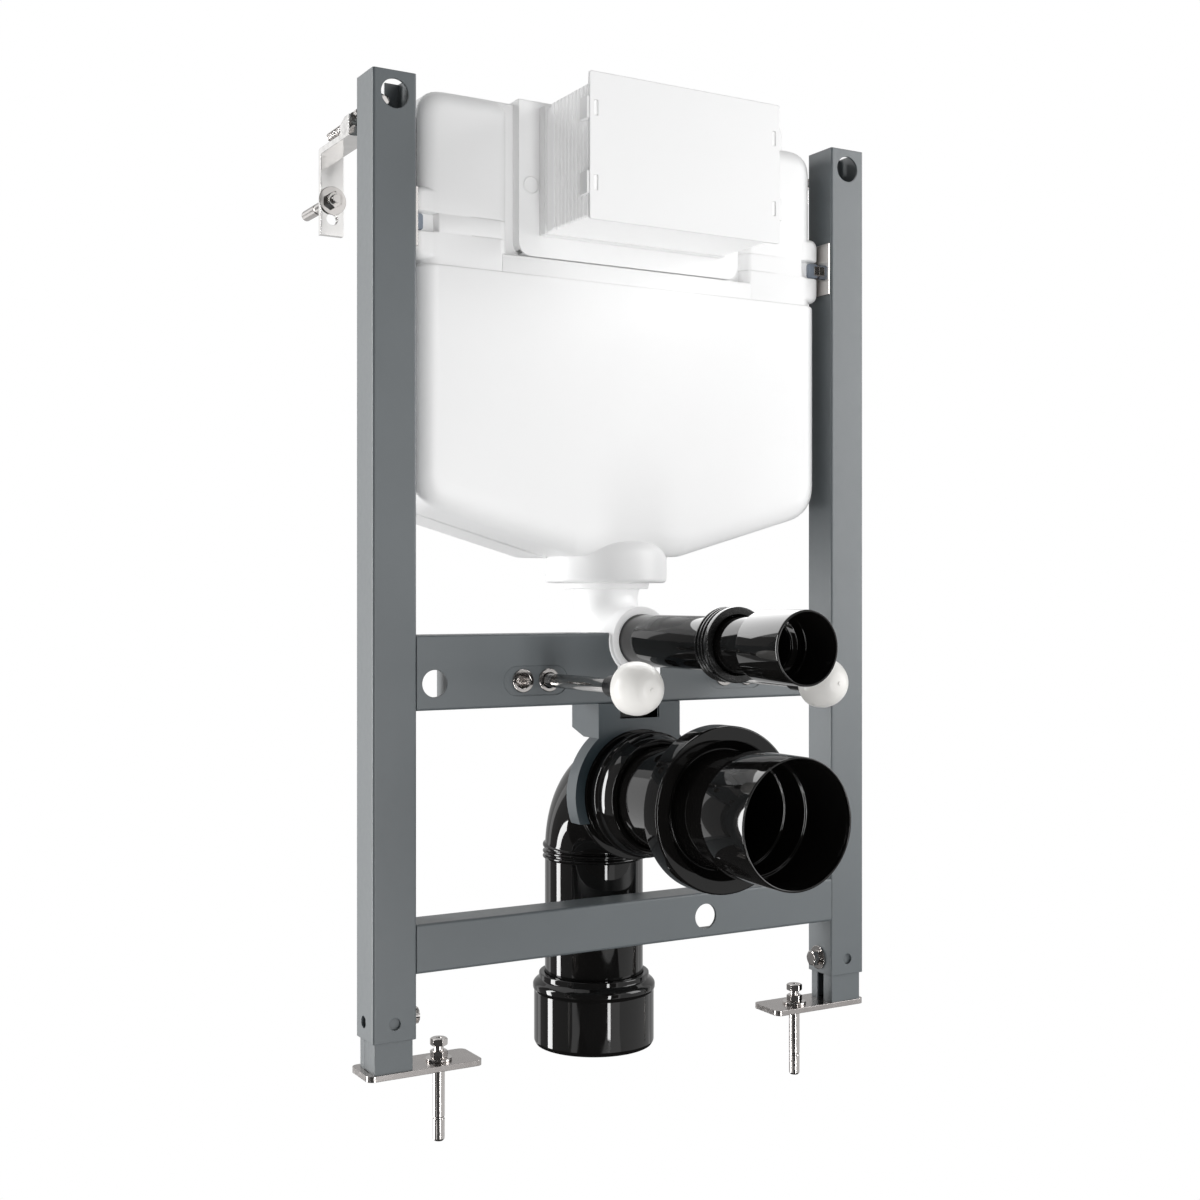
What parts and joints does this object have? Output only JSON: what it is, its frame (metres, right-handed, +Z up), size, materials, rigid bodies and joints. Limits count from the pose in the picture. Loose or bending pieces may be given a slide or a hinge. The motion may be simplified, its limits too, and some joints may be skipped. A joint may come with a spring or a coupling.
{
  "type": "wall hung toilet frame",
  "caption": "Slim steel frame that carries a wall hung pan: channel posts on sliding feet, crossbars, hidden cistern with a front access box, flush pipe, waste bend and wall brackets.",
  "frame": {"origin": "on the back face of the left wall bracket's leg, where it lies on the wall. The floor is 0.759 m below it, the middle plane of the frame 0.231 m to its right, and the front of the posts 0.1466 m in front of it", "axes": "+Y into the wall, +Z up, +X to the right as seen from the front"},
  "size_m": [0.506, 0.4475, 0.8753],
  "materials": {
    "frame_paint": "satin blue-grey coating",
    "bracket_paint": "satin dark blue-grey coating",
    "zinc": "bright zinc plate",
    "dark_plastic": "matt",
    "cap_plastic": "smooth",
    "black_pipe": "polished",
    "seal_rubber": "smooth",
    "white_pipe": "smooth",
    "cistern_plastic": "fine satin"
  },
  "bodies": {
    "frame": {"post_left": "frame_paint", "post_right": "frame_paint", "crossbar_upper": "frame_paint", "crossbar_lower": "frame_paint", "stud_backing_left": "frame_paint", "stud_backing_right": "frame_paint", "waste_bracket": "bracket_paint", "lock_bolt_left": "zinc", "lock_bolt_right": "zinc", "stud_inserts_left": "zinc", "stud_inserts_right": "zinc", "pan_stud_left": "zinc", "pan_stud_right": "zinc", "cistern_fixing_left": "zinc", "cistern_fixing_right": "zinc", "wall_rod_left": "zinc", "wall_rod_right": "zinc", "wall_bracket_left": "zinc", "wall_bracket_right": "zinc", "wall_anchor_left": "zinc", "wall_anchor_right": "zinc", "stud_sleeve_left": "dark_plastic", "stud_sleeve_right": "dark_plastic", "stud_cap_left": "cap_plastic", "stud_cap_right": "cap_plastic", "waste_bend": "black_pipe", "waste_adapter": "black_pipe", "waste_connector": "black_pipe", "flush_pipe": "black_pipe", "flush_connector": "black_pipe", "flush_seal": "seal_rubber", "flush_bend": "white_pipe", "flush_collar": "white_pipe", "cistern": "cistern_plastic", "access_panel": "cistern_plastic", "access_tunnel": "cistern_plastic", "access_cover": "cistern_plastic"},
    "left_leg": {"foot_tube_left": "frame_paint", "foot_plate_left": "zinc", "floor_anchor_left": "zinc"},
    "right_leg": {"foot_tube_right": "frame_paint", "foot_plate_right": "zinc", "floor_anchor_right": "zinc"}
  },
  "joints": [
    {"name": "left_leg_slide", "type": "slide", "parent": "frame", "child": "left_leg", "axis": [0, 0, -1], "range_m": [0, 0.2]},
    {"name": "right_leg_slide", "type": "slide", "parent": "frame", "child": "right_leg", "axis": [0, 0, -1], "range_m": [0, 0.2]}
  ]
}
